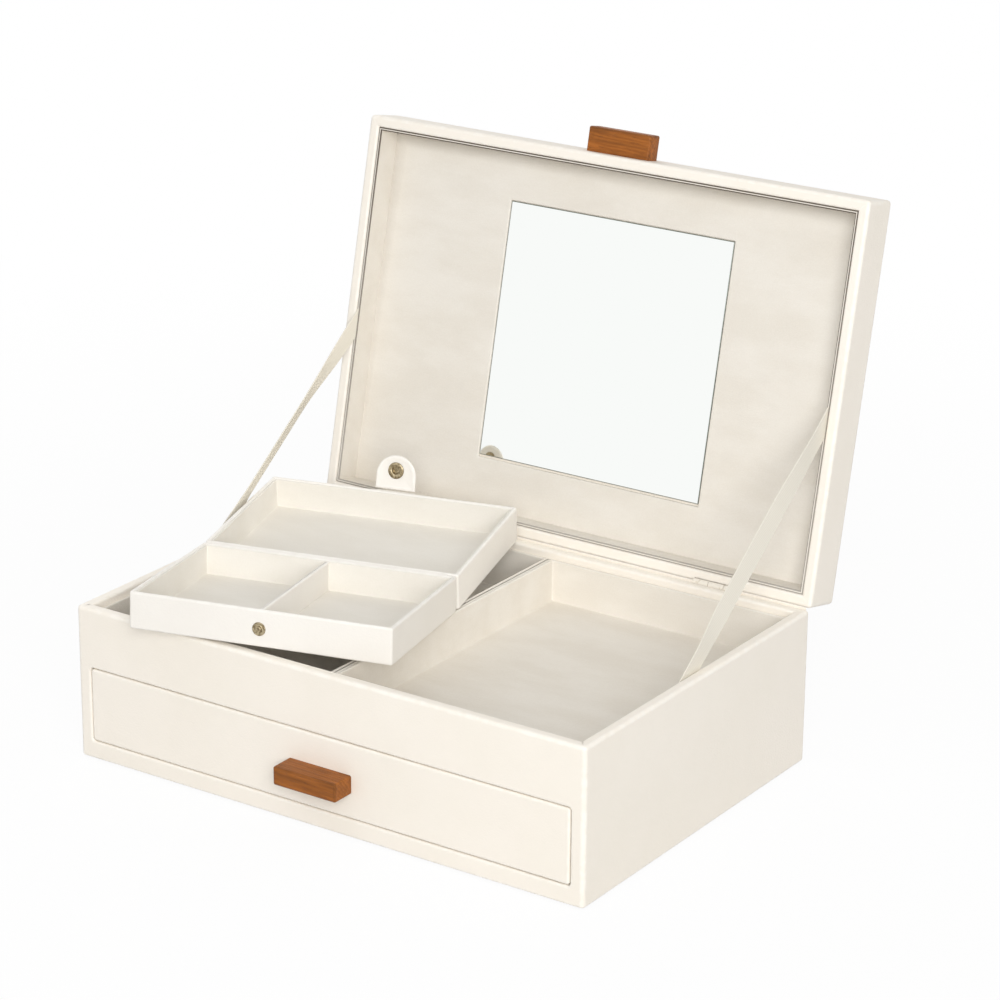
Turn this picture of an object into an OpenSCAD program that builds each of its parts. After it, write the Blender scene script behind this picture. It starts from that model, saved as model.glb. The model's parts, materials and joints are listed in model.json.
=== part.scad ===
/* [Case] */
// Width of the case
case_w = 280; // [250:1:320]
// Depth of the case
case_d = 190; // [175:1:215]
// Height of the case without its lid
case_h = 76; // [70:1:90]
// Thickness of the case walls and of the lid rims
wall_t = 5.5; // [4:0.5:7]
// Thickness of the felt sheet under the base
felt_t = 0.8; // [0.5:0.1:1.5]
// How far the felt stays in from the case sides
felt_inset = 3; // [1:0.5:10]
// Thickness of the base board
base_t = 4; // [3:0.5:6]
// Height of the deck board over the top of the drawer opening
deck_gap = 0.5; // [0.3:0.1:1.5]
// Thickness of the deck board under the two wells
deck_t = 3; // [2:0.5:5]
// How far the dividing board and the linings stop below the rim
lining_drop = 3.6; // [3:0.1:5]
// Thickness of the board between the wells
divider_t = 2; // [1.5:0.5:4]
// Thickness of the suede-covered card lining
lining_t = 1.5; // [1:0.1:2.5]
// Distance from the case centre line to the dividing board
divider_x = 0; // [-20:1:20]

/* [Drawer] */
// Width of the stile left beside the drawer front
stile_w = 7; // [6.5:0.5:10]
// Height of the rail under the drawer front
rail_h = 9.5; // [7:0.5:12]
// Height of the drawer opening
bay_h = 37; // [30:0.5:40]
// Gap around the drawer front
drawer_gap = 0.6; // [0.4:0.1:1]
// Thickness of the drawer sides and back
drawer_side_t = 4; // [3:0.5:6]
// Thickness of the drawer bottom
drawer_bottom_t = 3; // [2:0.5:4]
// How far the drawer sides stand below the top of its front
drawer_side_drop = 4; // [2:0.5:8]
// How far the drawer lining stops below the drawer sides
drawer_lining_drop = 1; // [0.5:0.5:3]
// Free space behind the closed drawer
drawer_back_gap = 2; // [1:0.5:5]
// Width of the runner strip under each side of the drawer
runner_w = 12; // [8:1:20]
// How far the drawer runs clear of its runners
drawer_run_gap = 0.3; // [0.2:0.1:0.6]

/* [Lid] */
// Height of the closed lid
lid_h = 22; // [18:0.5:26]
// Thickness of the lid board
lid_board_t = 5; // [3:0.5:6]
// Thickness of the card that carries the lid lining
lid_card_t = 2; // [1.6:0.1:2.5]
// Thickness of the lining on the inner faces of the lid rims
rim_lining_t = 0.6; // [0.4:0.1:1]
// How far the rim lining stays back from the edge of the rim
rim_lining_set = 1; // [0.5:0.5:3]
// Gap between the closed lid and the case
lid_gap = 0.3; // [0.2:0.1:0.5]
// Angle of the open lid from closed
lid_open = 102.4; // [95:0.1:105]

/* [Mirror] */
// Side of the square mirror
mirror_side = 126; // [90:1:140]
// Thickness of the mirror glass
mirror_t = 1.5; // [1:0.1:2]
// Gap between the mirror and the edge of its cut-out
mirror_gap = 0.3; // [0.2:0.1:1]
// How far the mirror sits right of the lid centre
mirror_x = 2; // [-10:0.5:10]
// How far the mirror sits behind the lid centre
mirror_y = -1; // [-10:0.5:10]

/* [Hinges] */
// Distance of the hinge pins from the back of the case, in which the knuckles are let in
hinge_setback = 0.3; // [0.3:0.1:1.5]
// Distance of the middle of each hinge from the side of the case
hinge_inset = 50; // [35:1:80]
// Length of a hinge
hinge_l = 25; // [20:1:40]
// Height of a hinge leaf from the pin
hinge_leaf_h = 13; // [11:0.5:14]
// Thickness of a hinge leaf
hinge_leaf_t = 0.8; // [0.6:0.1:1]
// Outer radius of the hinge knuckles
knuckle_r = 1.8; // [1.6:0.1:2.5]
// Radius of the hinge pin
pin_r = 0.8; // [0.6:0.05:1]
// Clearance of the pin in its knuckles
pin_clearance = 0.05; // [0.02:0.01:0.1]
// Gap between neighbouring knuckles
knuckle_gap = 0.3; // [0.2:0.1:0.5]
// Distance between the two screws of a leaf
hinge_screw_pitch = 15; // [12:0.5:18]
// Distance of the screws from the pin
hinge_screw_drop = 8; // [7:0.5:9]
// Shank radius of the hinge screws
hinge_screw_r = 0.9; // [0.7:0.1:1.2]
// Length of the hinge screws below the leaf
hinge_screw_l = 3.5; // [3:0.5:3.5]

/* [Handles] */
// Width of the wooden bar handles
handle_w = 34.5; // [28:0.5:60]
// Height of the handles
handle_h = 9; // [7:0.5:12]
// How far the handles stand out
handle_out = 12; // [8:0.5:16]
// Chamfer along the handle edges
handle_chamfer = 0.6; // [0.3:0.1:1.5]
// Distance between the two handle screws
handle_screw_pitch = 18; // [12:0.5:22]
// Shank radius of the handle screws
handle_screw_r = 1.2; // [1:0.1:1.5]
// Thickness of the screw heads
handle_head_t = 1.5; // [1:0.1:2.5]
// Depth of the screws in the handle
handle_screw_bite = 6; // [4:0.5:7]
// Clearance of the screws in their holes
screw_clearance = 0.05; // [0.02:0.01:0.1]
// Height of the drawer pull above the bottom of the drawer front
pull_rise = 16.5; // [10:0.5:24]

/* [Travel tray] */
// Gap between the folded tray and the lining of its well, at each side
tray_side_gap = 1.5; // [0.5:0.1:3]
// Depth of each half of the tray
tray_d = 82.5; // [70:0.5:84]
// Height of each half of the tray
tray_h = 17.5; // [14:0.5:19]
// Thickness of the tray walls and floors
tray_wall_t = 2; // [1.6:0.1:3]
// Thickness of the lining in the tray
tray_lining_t = 0.8; // [0.5:0.1:1.2]
// Thickness of the partition in the front half
partition_t = 2; // [1.2:0.1:3]
// How far the linings and the partition stop below the tray rim
tray_lining_drop = 0.5; // [0.3:0.1:2]
// Gap between the halves at the spine, at each side of the fold
spine_gap = 0.5; // [0.4:0.1:1]
// Height of the fold axis over the tray rims
fold_rise = 0.2; // [0.1:0.1:0.4]
// Thickness of the spine strip
spine_t = 0.4; // [0.3:0.1:0.5]
// How far the spine strip reaches down each spine wall
spine_leg = 8; // [5:0.5:12]
// How far the spine strip stays in from the tray ends
spine_inset = 5; // [2:0.5:20]
// Turn of the opened tray on the case
tray_yaw = 14.7; // [13:0.1:17]
// Distance of the left end of the tray fold from the inner face of the case
fold_left = 14.3; // [13:0.1:17]
// How far the front left corner of the opened tray stands out over the case front
tray_overhang = 10.4; // [8:0.1:14]
// Gap between the opened tray and the walls that it lies on
tray_rest_gap = 0.3; // [0.2:0.1:0.5]

/* [Tray clasp] */
// Width of the clasp tab
tab_w = 20.5; // [16:0.5:26]
// Thickness of the clasp tab
tab_t = 1.5; // [1:0.1:2]
// Reach of the tab over the tray rim
tab_reach = 17; // [15.5:0.5:17]
// Length of the tab root that is glued to the tray
tab_root = 6; // [4:0.5:10]
// Gap between the tab and its root, where it bends
tab_bend_gap = 0.3; // [0.2:0.1:0.5]
// Lean of the open tab from the tray wall
tab_lean = 15; // [14:1:25]
// How far the stud and its socket lie from the tray rim
snap_drop = 9.5; // [8.5:0.5:10.5]
// Radius of the foot of the snap stud
stud_foot_r = 3.2; // [2.6:0.1:4]
// Thickness of the foot of the snap stud
stud_foot_t = 0.4; // [0.3:0.1:0.6]
// Radius of the snap stud
stud_r = 1.7; // [1.4:0.1:2]
// How far the snap stud stands out of the tray
stud_out = 1.9; // [1.6:0.1:2.2]
// Radius of the rivet that holds the stud
rivet_r = 1; // [0.7:0.1:1.4]
// Clearance of the rivet and of the socket in their holes
snap_hole_clearance = 0.05; // [0.02:0.01:0.1]
// Clearance of the stud in its socket
stud_clearance = 0.15; // [0.1:0.05:0.3]
// Outer radius of the snap socket
socket_r = 4.1; // [3.6:0.1:5]
// Wall of the snap socket where it passes through the tab
socket_wall = 0.7; // [0.5:0.1:1]
// How far the snap socket stands out of the tab
socket_out = 0.5; // [0.3:0.1:0.8]
// Thickness of the cap that closes the socket
socket_cap_t = 0.6; // [0.4:0.1:1]
// Gap between the closed socket and the foot of the stud
socket_gap = 0.3; // [0.2:0.1:0.5]

/* [Ribbon stays] */
// Width of the ribbons
ribbon_w = 10; // [6:0.5:14]
// Thickness of the ribbons
ribbon_t = 0.5; // [0.3:0.1:0.8]
// Place of the lower ribbon ends, behind the case centre
ribbon_low_y = -5; // [-12:1:0]
// Place of the upper ribbon ends, behind the lid centre
ribbon_top_y = 2; // [-20:1:20]
// Height of the upper ribbon ends in the lid, from the edge of its rim
ribbon_top_z = 6.5; // [6:0.5:8]
// Twist of the left ribbon, where the opened tray lies against it
ribbon_twist = 22; // [15:1:35]
// Gap between the left ribbon and the opened tray
ribbon_gap = 0.5; // [0.3:0.1:1]

/* [Hidden] */

$fn = 48;
// How far a cut runs past the face that it opens
cut = 1;

// Case
half_w = case_w / 2;
half_d = case_d / 2;
inner_w = case_w - 2 * wall_t;
inner_d = case_d - 2 * wall_t;
bay_w = case_w - 2 * stile_w;
bay_top = rail_h + bay_h;
deck_z = bay_top + deck_gap;
well_floor = deck_z + deck_t;
well_top = case_h - lining_drop;
divider_left = divider_x - divider_t / 2;
divider_right = divider_x + divider_t / 2;

// Drawer
box_w = bay_w - 2 * drawer_gap;
front_h = bay_h - 2 * drawer_gap;
front_z = rail_h + drawer_gap;
box_front = -half_d + wall_t;
box_back = half_d - wall_t - drawer_back_gap;
box_z = rail_h + drawer_run_gap;
box_top = front_z + front_h - drawer_side_drop;
guide_t = (inner_w - box_w) / 2 - drawer_run_gap;

// Lid, as it lies closed
lid_z = case_h + lid_gap;
board_z = lid_z + lid_h - lid_board_t;
card_z = board_z - lid_card_t;

// Hinges
hinge_x = half_w - hinge_inset;
axis_y = half_d + hinge_setback;
axis_z = case_h + lid_gap / 2;
knuckle_l = (hinge_l - 2 * knuckle_gap) / 3;
knuckle_room = knuckle_r + knuckle_gap;
hinge_head_r = hinge_screw_r + hinge_leaf_t;

// Handles and their screws
handle_head_r = 2 * handle_screw_r;
pull_z = front_z + pull_rise;
lid_handle_z = lid_z + lid_h / 2;

// Travel tray: folded, it fills its lined well from side to side. Opened on the case, it
// sags until the fold lies on the dividing board and the tray leans on the nearer wall
tray_w = divider_left + inner_w / 2 - 2 * lining_t - 2 * tray_side_gap;
half_end = spine_gap + tray_d;
left_run = fold_left / sin(tray_yaw);
front_run = half_end - (tray_overhang + wall_t) / cos(tray_yaw);
tray_sag = asin(lining_drop / min(left_run, front_run));
tray_x = -inner_w / 2 + fold_left + tray_w / 2 * cos(tray_yaw);
tray_y = -half_d - tray_overhang + tray_w / 2 * sin(tray_yaw) + half_end * cos(tray_yaw);
tray_z = well_top + tray_rest_gap + tray_h * cos(tray_sag);
stud_z = 2 * fold_rise - snap_drop;

// Clasp tab: its socket stands clear of the tray front when the clasp is shut
tab_set = stud_foot_t + socket_gap + socket_out;
tab_axis_y = half_end + tab_set + tab_t / 2;
socket_bore_r = stud_r + stud_clearance;

// Ribbon stays, from the lining of the lid rim to the top of the well lining
ribbon_x = inner_w / 2 - rim_lining_t - ribbon_t / 2;
ribbon_low = [ribbon_low_y, well_top];
ribbon_top = in_open_lid([ribbon_top_y, lid_z + ribbon_top_z]);
ribbon_run = ribbon_top - ribbon_low;
ribbon_dir = ribbon_run / norm(ribbon_run);
ribbon_cut = ribbon_w / 2 / ribbon_dir[1];
// Where the lower edge of the left ribbon comes over the rim of the opened tray
fold_end_y = tray_y - tray_w / 2 * sin(tray_yaw);
rim_slope = sin(tray_sag) / cos(tray_yaw);
edge_start = [ribbon_low_y + ribbon_cut, well_top];
edge_run = (tray_z - well_top + (edge_start[0] - fold_end_y) * rim_slope)
    / (ribbon_dir[1] - ribbon_dir[0] * rim_slope);
over_y = edge_start[0] + edge_run * ribbon_dir[0];
over_x = inner_w / 2 - fold_left + (over_y - fold_end_y) * tan(tray_yaw);
over_share = (edge_run + ribbon_cut * ribbon_dir[0]) / norm(ribbon_run);
ribbon_push = max(0, over_x + ribbon_gap + ribbon_t / 2 - ribbon_x - ribbon_w / 2 * sin(ribbon_twist));
// The ribbon is flat as far as flat_low of its length, and again from flat_top
flat_low = over_share / 3;
untwist = 0.6;
flat_top = 0.9;
ribbon_steps = 12;

// A point [y, z] of the closed lid, turned with the open lid
function in_open_lid(p) =
    let (y = p[0] - axis_y, z = p[1] - axis_z)
    [
        axis_y + y * cos(lid_open) + z * sin(lid_open),
        axis_z - y * sin(lid_open) + z * cos(lid_open)
    ];

module open_lid() {
    translate([0, axis_y, axis_z]) rotate([-lid_open, 0, 0]) translate([0, -axis_y, -axis_z]) children();
}

module on_case() {
    translate([tray_x, tray_y, tray_z]) rotate([-tray_sag, 0, tray_yaw]) children();
}

module rear_half() {
    on_case() translate([0, 0, fold_rise]) rotate([2 * tray_sag, 0, 0]) translate([0, 0, -fold_rise]) children();
}

// Turned about the clasp's bending line by the given angle away from the tray
module leaning(angle) {
    rear_half() translate([0, tab_axis_y, 0]) rotate([-angle, 0, 0]) children();
}

// A block from one corner to the opposite one
module block(low, high) {
    translate(low) cube(high - low);
}

// A lining with a floor and four walls
module lining_cup(low, high, t) {
    difference() {
        block(low, high);
        block(low + [t, t, t], [high[0] - t, high[1] - t, high[2] + cut]);
    }
}

// A straight hole or shank along Y, from y0 to y1
module along_y(x, z, y0, y1, r) {
    translate([x, y1, z]) rotate([90, 0, 0]) cylinder(h = y1 - y0, r = r);
}

module at_handle_screws() {
    for (side = [-1, 1]) translate([side * handle_screw_pitch / 2, 0, 0]) children();
}

module at_hinge_screws() {
    for (hinge = [-1, 1], side = [-1, 1])
        translate([hinge * hinge_x + side * hinge_screw_pitch / 2, 0, 0]) children();
}

// Room for the screws of a handle at height z, seen from the inner face of its panel
module handle_holes(z) {
    at_handle_screws() {
        along_y(0, z, -half_d - cut, -half_d + wall_t + cut, handle_screw_r + screw_clearance);
        along_y(0, z, -half_d + wall_t - handle_head_t, -half_d + wall_t + cut, handle_head_r + screw_clearance);
    }
}

// The two screws of a handle at height z, with their heads flush with the inner face
module handle_screws(z) {
    at_handle_screws() {
        along_y(0, z, -half_d - handle_screw_bite, -half_d + wall_t - handle_head_t, handle_screw_r);
        along_y(0, z, -half_d + wall_t - handle_head_t, -half_d + wall_t, handle_head_r);
    }
}

// A wooden bar on the front face at height z, with chamfered edges and blind screw holes
module bar_handle(z) {
    w = handle_w / 2;
    h = handle_h / 2;
    c = handle_chamfer;
    difference() {
        translate([0, -half_d, z]) intersection() {
            rotate([90, 0, 0]) linear_extrude(handle_out) polygon([
                [-w + c, -h], [w - c, -h], [w, -h + c], [w, h - c],
                [w - c, h], [-w + c, h], [-w, h - c], [-w, -h + c]
            ]);
            translate([0, 0, -h]) linear_extrude(handle_h) polygon([
                [-w, 0], [-w, -handle_out + c], [-w + c, -handle_out],
                [w - c, -handle_out], [w, -handle_out + c], [w, 0]
            ]);
            translate([-w, 0, 0]) rotate([90, 0, 90]) linear_extrude(handle_w) polygon([
                [0, -h], [-handle_out + c, -h], [-handle_out, -h + c],
                [-handle_out, h - c], [-handle_out + c, h], [0, h]
            ]);
        }
        at_handle_screws()
            along_y(0, z, -half_d - handle_screw_bite - c, -half_d + cut, handle_screw_r + screw_clearance);
    }
}

// Room for the knuckles of both hinges, in the top of the case and in the edge of the lid
module knuckle_notches() {
    l = hinge_l / 2 + knuckle_gap;
    for (side = [-1, 1]) translate([side * hinge_x, 0, 0])
        block([-l, axis_y - knuckle_room, axis_z - knuckle_room], [l, half_d + cut, axis_z + knuckle_room]);
}

module base_felt() {
    color("#77716a")
        block([-half_w + felt_inset, -half_d + felt_inset, 0], [half_w - felt_inset, half_d - felt_inset, felt_t]);
}

module base_board() {
    color("#f0e9dc") block([-inner_w / 2, -inner_d / 2, felt_t], [inner_w / 2, inner_d / 2, felt_t + base_t]);
}

module front_panel() {
    color("#f4f0e6") difference() {
        block([-half_w, -half_d, felt_t], [half_w, -half_d + wall_t, case_h]);
        block([-bay_w / 2, -half_d - cut, rail_h], [bay_w / 2, -half_d + wall_t + cut, bay_top]);
    }
}

module back_panel() {
    color("#f4f0e6") difference() {
        block([-half_w, half_d - wall_t, felt_t], [half_w, half_d, case_h]);
        knuckle_notches();
        at_hinge_screws() along_y(
            0, axis_z - hinge_screw_drop, half_d - hinge_screw_l - cut / 4, half_d + cut,
            hinge_screw_r + screw_clearance
        );
    }
}

module side_panel(side) {
    x = side > 0 ? inner_w / 2 : -half_w;
    color("#f4f0e6") block([x, -inner_d / 2, felt_t], [x + wall_t, inner_d / 2, case_h]);
}

module deck_board() {
    color("#e4dfd6") block([-inner_w / 2, -inner_d / 2, deck_z], [inner_w / 2, inner_d / 2, well_floor]);
}

module well_divider() {
    color("#e4dfd6")
        block([divider_left, -inner_d / 2, well_floor], [divider_right, inner_d / 2, well_top]);
}

module left_well_lining() {
    color("#ddd8ce")
        lining_cup([-inner_w / 2, -inner_d / 2, well_floor], [divider_left, inner_d / 2, well_top], lining_t);
}

module right_well_lining() {
    color("#ddd8ce")
        lining_cup([divider_right, -inner_d / 2, well_floor], [inner_w / 2, inner_d / 2, well_top], lining_t);
}

// A strip that carries the drawer, with a guide beside it
module drawer_runner(side) {
    color("#cdb892") mirror([side > 0 ? 0 : 1, 0, 0]) union() {
        block([inner_w / 2 - runner_w, -inner_d / 2, felt_t + base_t], [inner_w / 2, inner_d / 2, rail_h]);
        block([inner_w / 2 - guide_t, -inner_d / 2, rail_h], [inner_w / 2, inner_d / 2, box_top]);
    }
}

module drawer_front() {
    color("#f4f0e6") difference() {
        block([-box_w / 2, -half_d, front_z], [box_w / 2, box_front, front_z + front_h]);
        handle_holes(pull_z);
    }
}

module drawer_side(side) {
    x = side > 0 ? box_w / 2 - drawer_side_t : -box_w / 2;
    color("#e9e2d3") block([x, box_front, box_z], [x + drawer_side_t, box_back, box_top]);
}

module drawer_back() {
    w = box_w / 2 - drawer_side_t;
    color("#e9e2d3") block([-w, box_back - drawer_side_t, box_z], [w, box_back, box_top]);
}

module drawer_bottom() {
    w = box_w / 2 - drawer_side_t;
    color("#e9e2d3") block([-w, box_front, box_z], [w, box_back - drawer_side_t, box_z + drawer_bottom_t]);
}

module drawer_lining() {
    w = box_w / 2 - drawer_side_t;
    color("#ddd8ce") lining_cup(
        [-w, box_front, box_z + drawer_bottom_t],
        [w, box_back - drawer_side_t, box_top - drawer_lining_drop], lining_t
    );
}

module drawer_pull() {
    color("#a4652b") bar_handle(pull_z);
}

module drawer_pull_screws() {
    color("#b9b9b4") handle_screws(pull_z);
}

module lid_board() {
    color("#f4f0e6") open_lid() block([-half_w, -half_d, board_z], [half_w, half_d, board_z + lid_board_t]);
}

module lid_front_rim() {
    color("#f4f0e6") open_lid() difference() {
        block([-half_w, -half_d, lid_z], [half_w, -half_d + wall_t, board_z]);
        handle_holes(lid_handle_z);
    }
}

module lid_back_rim() {
    color("#f4f0e6") open_lid() difference() {
        block([-half_w, half_d - wall_t, lid_z], [half_w, half_d, board_z]);
        knuckle_notches();
        at_hinge_screws() along_y(
            0, axis_z + hinge_screw_drop, half_d - hinge_screw_l - cut / 4, half_d + cut,
            hinge_screw_r + screw_clearance
        );
    }
}

module lid_side_rim(side) {
    x = side > 0 ? inner_w / 2 : -half_w;
    color("#f4f0e6") open_lid() block([x, -inner_d / 2, lid_z], [x + wall_t, inner_d / 2, board_z]);
}

module lid_lining_card() {
    hole = mirror_side / 2 + mirror_gap;
    color("#ddd8ce") open_lid() difference() {
        block([-inner_w / 2, -inner_d / 2, card_z], [inner_w / 2, inner_d / 2, board_z]);
        translate([mirror_x, mirror_y, 0]) block([-hole, -hole, card_z - cut], [hole, hole, board_z + cut]);
    }
}

module lid_rim_lining() {
    w = inner_w / 2;
    d = inner_d / 2;
    t = rim_lining_t;
    low = lid_z + rim_lining_set;
    color("#ddd8ce") open_lid() difference() {
        block([-w, -d, low], [w, d, card_z]);
        block([-w + t, -d + t, low - cut], [w - t, d - t, card_z + cut]);
    }
}

module mirror_glass() {
    m = mirror_side / 2;
    color("#dfe6ea") open_lid() translate([mirror_x, mirror_y, 0])
        block([-m, -m, board_z - mirror_t], [m, m, board_z]);
}

module lid_handle() {
    color("#a4652b") open_lid() bar_handle(lid_handle_z);
}

module lid_handle_screws() {
    color("#b9b9b4") open_lid() handle_screws(lid_handle_z);
}

// A round rod on the hinge axis, from x0 to x1
module on_axis(x0, x1, r) {
    translate([x0, axis_y, axis_z]) rotate([90, 0, 90]) cylinder(h = x1 - x0, r = r);
}

// One leaf of a hinge at x: dir is -1 for the leaf on the case and 1 for the leaf on the lid
module hinge_leaf(x, dir) {
    l = hinge_l / 2;
    k = knuckle_l / 2;
    g = k + knuckle_gap;
    own = dir < 0 ? [[-l, -g], [g, l]] : [[-k, k]];
    other = dir < 0 ? [[-g, g]] : [[-l - cut, -k], [k, l + cut]];
    z = [axis_z + dir * (pin_r + knuckle_r) / 2, axis_z + dir * hinge_leaf_h];
    color("#e9e2d3") translate([x, 0, 0]) difference() {
        union() {
            block([-l, half_d, min(z)], [l, half_d + hinge_leaf_t, max(z)]);
            for (e = own) on_axis(e[0], e[1], knuckle_r);
        }
        for (e = other)
            block(
                [e[0], half_d - cut, axis_z - knuckle_room],
                [e[1], axis_y + knuckle_room, axis_z + knuckle_room]
            );
        on_axis(-l - cut, l + cut, pin_r + pin_clearance);
        for (side = [-1, 1])
            translate([side * hinge_screw_pitch / 2, half_d, axis_z + dir * hinge_screw_drop]) rotate([-90, 0, 0])
                cylinder(
                    h = hinge_leaf_t, r1 = hinge_screw_r + screw_clearance, r2 = hinge_head_r + screw_clearance
                );
    }
}

module hinge_pin(x) {
    color("#e9e2d3") on_axis(x - hinge_l / 2, x + hinge_l / 2, pin_r);
}

// The countersunk screws of both leaves on one side of the pin
module hinge_screws(dir) {
    color("#e9e2d3") at_hinge_screws() {
        along_y(0, axis_z + dir * hinge_screw_drop, half_d - hinge_screw_l, half_d, hinge_screw_r);
        translate([0, half_d, axis_z + dir * hinge_screw_drop]) rotate([-90, 0, 0])
            cylinder(h = hinge_leaf_t, r1 = hinge_screw_r, r2 = hinge_head_r);
    }
}

function ease(t) = let (u = min(1, max(0, t))) u * u * (3 - 2 * u);

// How much of its full twist and push the ribbon has at the share s of its length
function bend_at(s) = s < over_share
    ? ease((s - flat_low) / (over_share - flat_low))
    : ease((flat_top - s) / (flat_top - untwist));

// The four corners of the ribbon at the share s of its length. The lower end is cut level
function ribbon_ring(s, side, push, twist) =
    let (
        p = ribbon_low + s * ribbon_run,
        a = twist * bend_at(s),
        centre = [side * (ribbon_x + push * bend_at(s)), p[0], p[1]],
        level = [0, ribbon_cut, 0],
        edge = [side * sin(a), ribbon_dir[1] * cos(a), -ribbon_dir[0] * cos(a)] * ribbon_w / 2,
        across = s > 0 ? edge : level,
        depth = [side * cos(a), -ribbon_dir[1] * sin(a), ribbon_dir[0] * sin(a)] * ribbon_t / 2
    )
    [centre - across - depth, centre + across - depth, centre + across + depth, centre - across + depth];

// A ribbon, flat or with a twist and a push outwards where the tray's wall meets it
module ribbon_stay(side, push, twist) {
    last = 4 * ribbon_steps;
    points = [for (i = [0 : ribbon_steps]) each ribbon_ring(i / ribbon_steps, 1, push, twist)];
    walls = [
        for (i = [0 : ribbon_steps - 1], j = [0 : 3])
            let (a = 4 * i + j, b = 4 * i + (j + 1) % 4)
            each [[a, b, b + 4], [a, b + 4, a + 4]]
    ];
    ends = [[0, 3, 2], [0, 2, 1], [last, last + 1, last + 2], [last, last + 2, last + 3]];
    color("#efe9dc") mirror([side > 0 ? 0 : 1, 0, 0]) polyhedron(points, concat(walls, ends));
}

// One half of the tray between y0 and y1, with the rim at height 0
module tray_shell(y0, y1) {
    w = tray_w / 2;
    t = tray_wall_t;
    difference() {
        block([-w, y0, -tray_h], [w, y1, 0]);
        block([-w + t, y0 + t, -tray_h + t], [w - t, y1 - t, cut]);
    }
}

module tray_lining(y0, y1) {
    w = tray_w / 2 - tray_wall_t;
    t = tray_wall_t;
    lining_cup([-w, y0 + t, -tray_h + t], [w, y1 - t, -tray_lining_drop], tray_lining_t);
}

module tray_front_shell() {
    color("#f2efe9") on_case() difference() {
        tray_shell(-half_end, -spine_gap);
        along_y(0, stud_z, -half_end - cut, -half_end + tray_wall_t + cut, rivet_r + snap_hole_clearance);
    }
}

module tray_front_lining() {
    color("#e8e2d8") on_case() tray_lining(-half_end, -spine_gap);
}

// A board across the front half, from its front wall to the fold
module tray_partition() {
    t = tray_wall_t + tray_lining_t;
    color("#ece7de") on_case() block(
        [-partition_t / 2, -half_end + t, -tray_h + t],
        [partition_t / 2, -spine_gap - t, -tray_lining_drop]
    );
}

// The stud with its foot, riveted through the front wall of the tray
module snap_stud() {
    color("#8a6a3a") on_case() {
        along_y(0, stud_z, -half_end - stud_foot_t, -half_end, stud_foot_r);
        along_y(0, stud_z, -half_end - stud_out, -half_end, stud_r);
        along_y(0, stud_z, -half_end, -half_end + tray_wall_t, rivet_r);
    }
}

module tray_rear_shell() {
    color("#f2efe9") rear_half() tray_shell(spine_gap, half_end);
}

module tray_rear_lining() {
    color("#e8e2d8") rear_half() tray_lining(spine_gap, half_end);
}

// A strip over the gap at the fold, with a leg down each of the two walls
module tray_spine_strip() {
    w = tray_w / 2 - spine_inset;
    color("#f2efe9") union() {
        on_case() block([-w, -spine_gap, -spine_leg], [w, -spine_gap + spine_t, 0]);
        on_case() block([-w, -spine_gap, -spine_t], [w, spine_gap - spine_t / 2, 0]);
        rear_half() block([-w, spine_gap - spine_t, -spine_leg], [w, spine_gap, 0]);
    }
}

// The fixed end of the clasp tab, glued to the back of the rear half
module clasp_root() {
    color("#f2efe9") rear_half() block(
        [-tab_w / 2, half_end, -tab_root],
        [tab_w / 2, half_end + tab_set + tab_t, -tab_t / 2 - tab_bend_gap]
    );
}

// The tab with its round end, and with a hole for the socket
module clasp_tab() {
    r = tab_w / 2;
    y = tab_t / 2;
    color("#f2efe9") leaning(tab_lean) difference() {
        union() {
            block([-r, -y, 0], [r, y, tab_reach - r]);
            intersection() {
                block([-r, -y, 0], [r, y, tab_reach]);
                along_y(0, tab_reach - r, -y, y, r);
            }
            translate([-r, 0, 0]) rotate([0, 90, 0]) cylinder(h = tab_w, r = y);
        }
        along_y(0, snap_drop, -y - cut, y + cut, socket_bore_r + socket_wall + snap_hole_clearance);
    }
}

// The socket: a collar on the side of the tray, a tube through the tab and a cap behind it
module snap_socket() {
    y = tab_t / 2;
    color("#8a6a3a") leaning(tab_lean) difference() {
        union() {
            along_y(0, snap_drop, -y - socket_out, -y, socket_r);
            along_y(0, snap_drop, -y - socket_out, y + socket_cap_t, socket_bore_r + socket_wall);
            along_y(0, snap_drop, y, y + socket_cap_t, socket_r);
        }
        along_y(0, snap_drop, -y - socket_out - cut, y, socket_bore_r);
    }
}

module left_panel() {
    side_panel(-1);
}

module right_panel() {
    side_panel(1);
}

module drawer_runner_left() {
    drawer_runner(-1);
}

module drawer_runner_right() {
    drawer_runner(1);
}

module drawer_left_side() {
    drawer_side(-1);
}

module drawer_right_side() {
    drawer_side(1);
}

module lid_left_rim() {
    lid_side_rim(-1);
}

module lid_right_rim() {
    lid_side_rim(1);
}

module hinge_case_leaf_left() {
    hinge_leaf(-hinge_x, -1);
}

module hinge_case_leaf_right() {
    hinge_leaf(hinge_x, -1);
}

module hinge_lid_leaf_left() {
    open_lid() hinge_leaf(-hinge_x, 1);
}

module hinge_lid_leaf_right() {
    open_lid() hinge_leaf(hinge_x, 1);
}

module hinge_pin_left() {
    hinge_pin(-hinge_x);
}

module hinge_pin_right() {
    hinge_pin(hinge_x);
}

module hinge_case_screws() {
    hinge_screws(-1);
}

module hinge_lid_screws() {
    open_lid() hinge_screws(1);
}

module ribbon_stay_left() {
    ribbon_stay(-1, ribbon_push, ribbon_twist);
}

module ribbon_stay_right() {
    ribbon_stay(1, 0, 0);
}

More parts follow.
